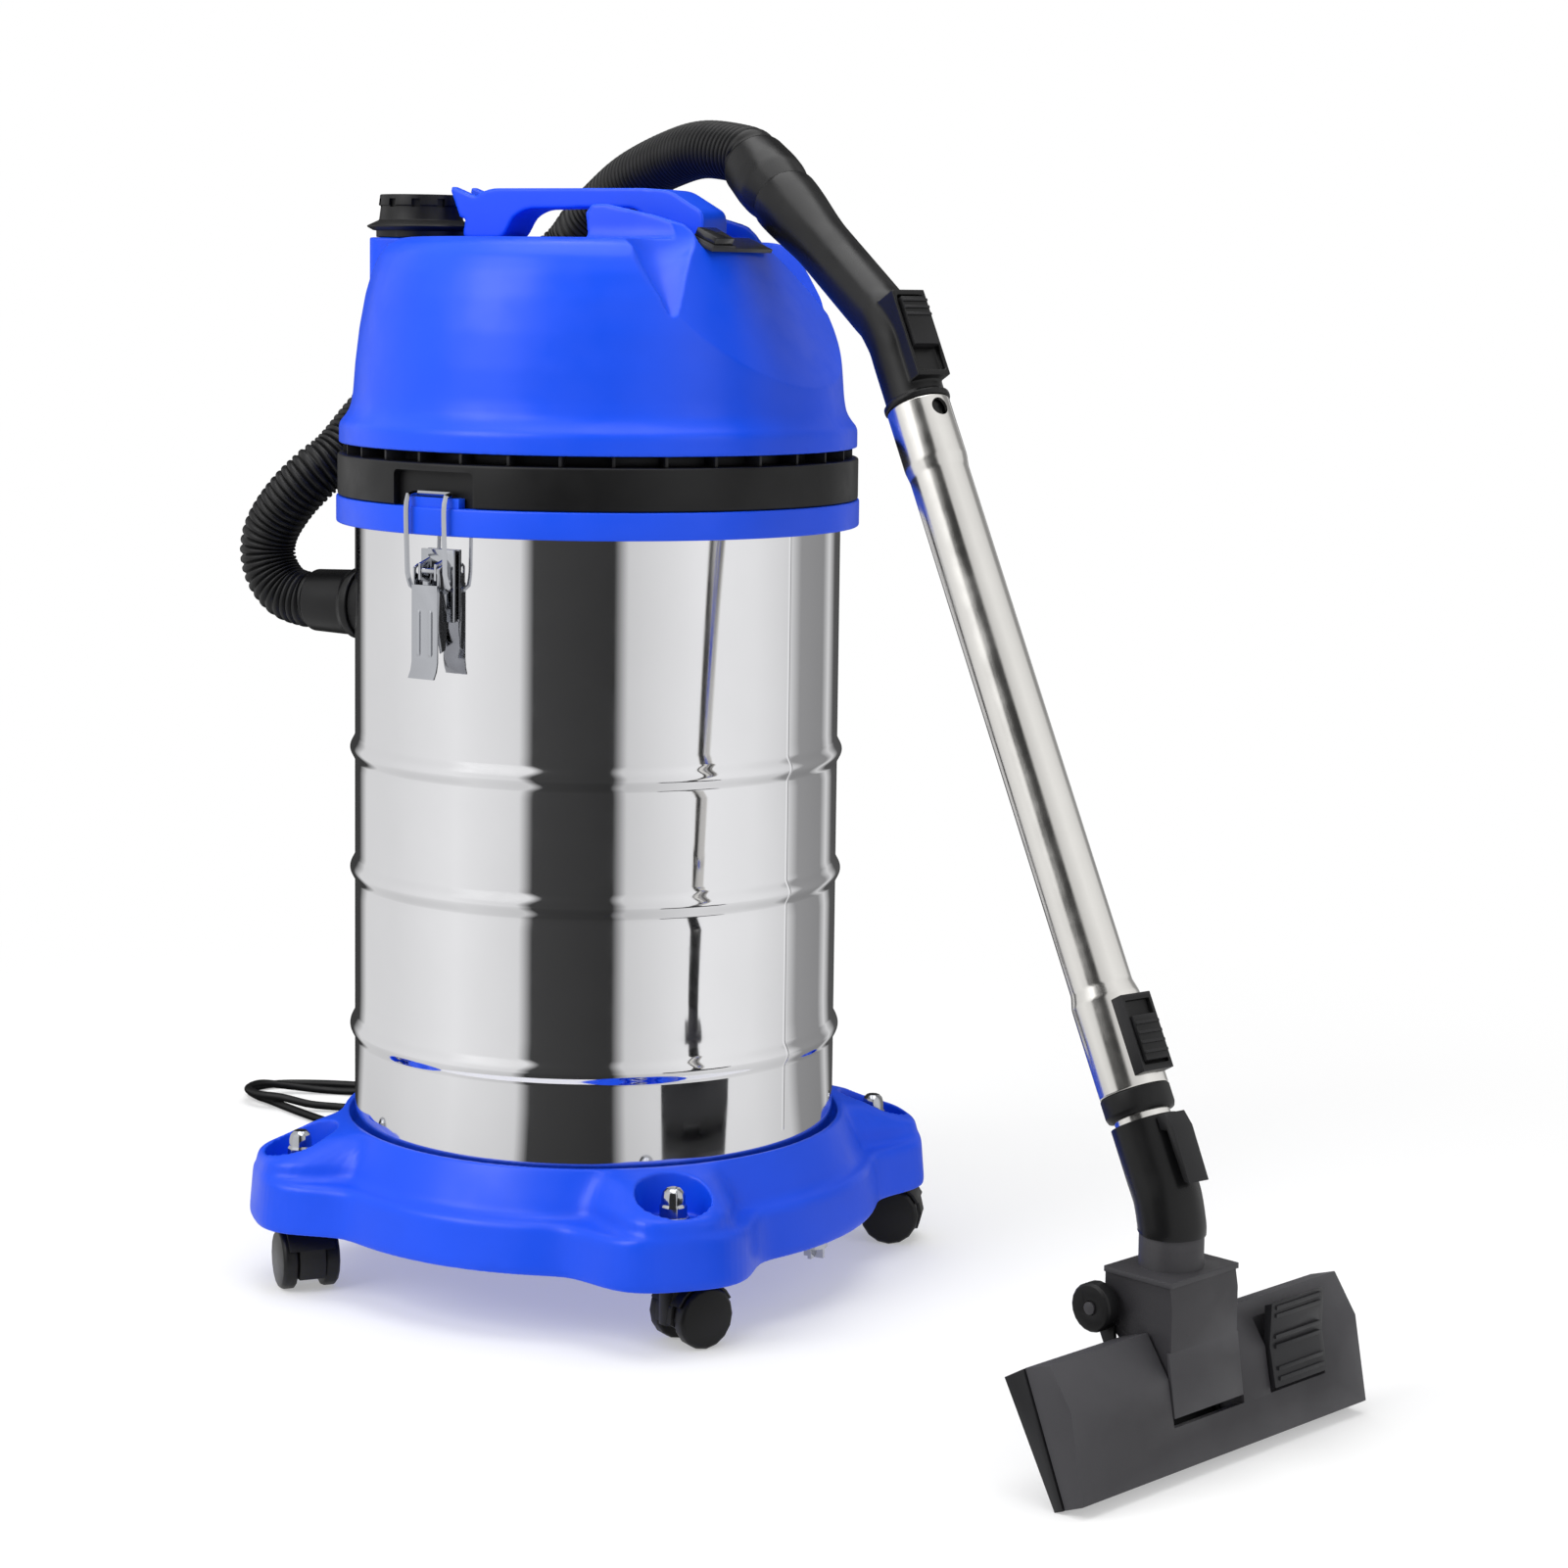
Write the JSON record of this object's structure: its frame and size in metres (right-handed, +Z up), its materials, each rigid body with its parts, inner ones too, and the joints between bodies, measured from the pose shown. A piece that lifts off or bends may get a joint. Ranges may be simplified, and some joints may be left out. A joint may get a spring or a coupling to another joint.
{
  "type": "wet and dry vacuum cleaner",
  "caption": "Drum vacuum cleaner: polished steel tank on a castor dolly, latched domed motor head with carry handle, corrugated hose, telescopic wand and floor nozzle.",
  "frame": {"origin": "on the floor under the tank's axis", "axes": "+Z up; -Y towards the front, where the switch panel is; +X to the viewer's right when looking at the front"},
  "size_m": [0.7502, 1.0998, 0.8127],
  "materials": {
    "steel": "mirror-polished stainless sheet",
    "chrome": "bright chromed",
    "blue_plastic": "satin gloss moulded plastic",
    "black_plastic": "satin moulded plastic",
    "charcoal_plastic": "finely textured moulded plastic",
    "black_rubber": "matt soft PVC or rubber",
    "motor_metal": "die-cast aluminium",
    "filter_cloth": "pleated filter cloth"
  },
  "bodies": {
    "machine": {"tank": "steel", "dolly_base": "blue_plastic", "castor_bolt_1": "chrome", "castor_bolt_2": "chrome", "castor_bolt_3": "chrome", "castor_bolt_4": "chrome", "drain_plug": "chrome", "rim_ring": "blue_plastic", "motor_base": "black_plastic", "vent_ring": "black_plastic", "head_cover": "blue_plastic", "carry_handle": "blue_plastic", "exhaust_port": "black_plastic", "switch_panel": "black_plastic", "motor": "motor_metal", "fan_housing": "black_plastic", "filter": "filter_cloth", "latch_bracket_1": "chrome", "latch_bracket_2": "chrome", "inlet_socket": "black_plastic", "hose_inlet_cuff": "black_rubber", "hose": "black_rubber", "wand_handle": "black_plastic", "outer_tube": "steel", "collar_ring": "black_plastic", "button_housing": "black_plastic", "cord_gland": "black_rubber", "mains_cord": "black_rubber", "cord_coil": "black_rubber", "mains_plug": "black_plastic", "cord_tail": "black_rubber"},
    "castor_1": {"castor_hood_1": "black_plastic"},
    "wheel_1": {"castor_wheel_1": "black_rubber"},
    "castor_2": {"castor_hood_2": "black_plastic"},
    "wheel_2": {"castor_wheel_2": "black_rubber"},
    "castor_3": {"castor_hood_3": "black_plastic"},
    "wheel_3": {"castor_wheel_3": "black_rubber"},
    "castor_4": {"castor_hood_4": "black_plastic"},
    "wheel_4": {"castor_wheel_4": "black_rubber"},
    "lever_1": {"latch_lever_1": "chrome"},
    "bail_1": {"latch_bail_1": "chrome"},
    "lever_2": {"latch_lever_2": "chrome"},
    "bail_2": {"latch_bail_2": "chrome"},
    "rocker": {"rocker_switch": "black_plastic"},
    "fan": {"impeller": "motor_metal"},
    "slider": {"suction_slider": "black_plastic"},
    "tube_button": {"telescope_button": "black_plastic"},
    "hose_cuff": {"hose_handle_cuff": "black_plastic"},
    "lower_wand": {"inner_tube": "steel", "elbow": "black_plastic", "parking_clip": "black_plastic"},
    "nozzle_neck": {"nozzle_hood": "charcoal_plastic"},
    "nozzle_head": {"nozzle_sole": "black_plastic", "nozzle_cover": "charcoal_plastic"},
    "roller_body_1": {"roller_1": "black_plastic"},
    "roller_body_2": {"roller_2": "black_plastic"},
    "pedal": {"nozzle_pedal": "black_plastic"},
    "brush": {"brush_strip": "black_plastic"}
  },
  "joints": [
    {"name": "castor_swivel_1", "type": "hinge", "parent": "machine", "child": "castor_1", "pos_m": [0.1492, -0.1492, 0.045], "axis": [0, 0, 1], "continuous": true},
    {"name": "castor_roll_1", "type": "hinge", "parent": "castor_1", "child": "wheel_1", "pos_m": [0.15433, -0.16329, 0.021], "axis": [0.9397, 0.342, 0], "continuous": true},
    {"name": "castor_swivel_2", "type": "hinge", "parent": "machine", "child": "castor_2", "pos_m": [-0.1492, -0.1492, 0.045], "axis": [0, 0, 1], "continuous": true},
    {"name": "castor_roll_2", "type": "hinge", "parent": "castor_2", "child": "wheel_2", "pos_m": [-0.13572, -0.15577, 0.021], "axis": [0.4384, 0.8988, 0], "continuous": true},
    {"name": "castor_swivel_3", "type": "hinge", "parent": "machine", "child": "castor_3", "pos_m": [-0.1492, 0.1492, 0.045], "axis": [0, 0, 1], "continuous": true},
    {"name": "castor_roll_3", "type": "hinge", "parent": "castor_3", "child": "wheel_3", "pos_m": [-0.15904, 0.13788, 0.021], "axis": [0.7547, -0.6561, 0], "continuous": true},
    {"name": "castor_swivel_4", "type": "hinge", "parent": "machine", "child": "castor_4", "pos_m": [0.1492, 0.1492, 0.045], "axis": [0, 0, 1], "continuous": true},
    {"name": "castor_roll_4", "type": "hinge", "parent": "castor_4", "child": "wheel_4", "pos_m": [0.1567, 0.16219, 0.021], "axis": [-0.866, 0.5, 0], "continuous": true},
    {"name": "latch_lever_hinge_1", "type": "hinge", "parent": "machine", "child": "lever_1", "pos_m": [-0.18015, 0.02212, 0.507], "axis": [0.1219, 0.9925, 0], "range_deg": [0, 100]},
    {"name": "latch_bail_hinge_1", "type": "hinge", "parent": "lever_1", "child": "bail_1", "pos_m": [-0.17896, 0.02197, 0.494], "axis": [0.1219, 0.9925, 0], "range_deg": [-85, 0]},
    {"name": "latch_lever_hinge_2", "type": "hinge", "parent": "machine", "child": "lever_2", "pos_m": [0.18015, -0.02212, 0.507], "axis": [-0.1219, -0.9925, 0], "range_deg": [0, 100]},
    {"name": "latch_bail_hinge_2", "type": "hinge", "parent": "lever_2", "child": "bail_2", "pos_m": [0.17896, -0.02197, 0.494], "axis": [-0.1219, -0.9925, 0], "range_deg": [-85, 0]},
    {"name": "rocker_tilt", "type": "hinge", "parent": "machine", "child": "rocker", "pos_m": [-0.027, -0.10415, 0.72669], "axis": [1, 0, 0], "range_deg": [-12, 0]},
    {"name": "impeller_spin", "type": "hinge", "parent": "machine", "child": "fan", "pos_m": [0, 0, 0.565], "axis": [0, 0, 1], "continuous": true},
    {"name": "suction_slide", "type": "slide", "parent": "machine", "child": "slider", "axis": [0.207, 0.4282, 0.8796], "range_m": [-0.014, 0]},
    {"name": "telescope_button_slide", "type": "slide", "parent": "machine", "child": "tube_button", "axis": [0.207, 0.4282, 0.8796], "range_m": [0, 0.008], "stiffness_N_per_m": 300},
    {"name": "hose_cuff_swivel", "type": "hinge", "parent": "machine", "child": "hose_cuff", "pos_m": [0.03275, -0.11857, 0.76473], "axis": [0.4896, 0.7209, 0.4905], "continuous": true},
    {"name": "telescope_slide", "type": "slide", "parent": "machine", "child": "lower_wand", "axis": [-0.207, -0.4282, -0.8796], "range_m": [0, 0.3]},
    {"name": "nozzle_swivel", "type": "hinge", "parent": "lower_wand", "child": "nozzle_neck", "pos_m": [-0.1836, -0.5102, 0.137], "axis": [0, 0, 1], "range_deg": [-60, 60]},
    {"name": "nozzle_hinge", "type": "hinge", "parent": "nozzle_neck", "child": "nozzle_head", "pos_m": [-0.17638, -0.48731, 0.095], "axis": [0.9537, -0.3007, 0], "range_deg": [-13, 28]},
    {"name": "roller_roll_1", "type": "hinge", "parent": "nozzle_neck", "child": "roller_body_1", "pos_m": [-0.2151, -0.4751, 0.095], "axis": [0.9537, -0.3007, 0], "continuous": true},
    {"name": "roller_roll_2", "type": "hinge", "parent": "nozzle_neck", "child": "roller_body_2", "pos_m": [-0.13766, -0.49952, 0.095], "axis": [0.9537, -0.3007, 0], "continuous": true},
    {"name": "pedal_rock", "type": "hinge", "parent": "nozzle_head", "child": "pedal", "pos_m": [-0.10857, -0.56322, 0.061], "axis": [0.9537, -0.3007, 0], "range_deg": [-7, 0]},
    {"name": "brush_slide", "type": "slide", "parent": "nozzle_head", "child": "brush", "axis": [0.2615, 0.8292, -0.494], "range_m": [0, 0.004]}
  ],
  "couplings": [
    {"joint": "latch_bail_hinge_1", "follows": "latch_lever_hinge_1", "ratio": -0.85},
    {"joint": "latch_bail_hinge_2", "follows": "latch_lever_hinge_2", "ratio": -0.85},
    {"joint": "brush_slide", "follows": "pedal_rock", "m_per_rad": -0.032708}
  ]
}
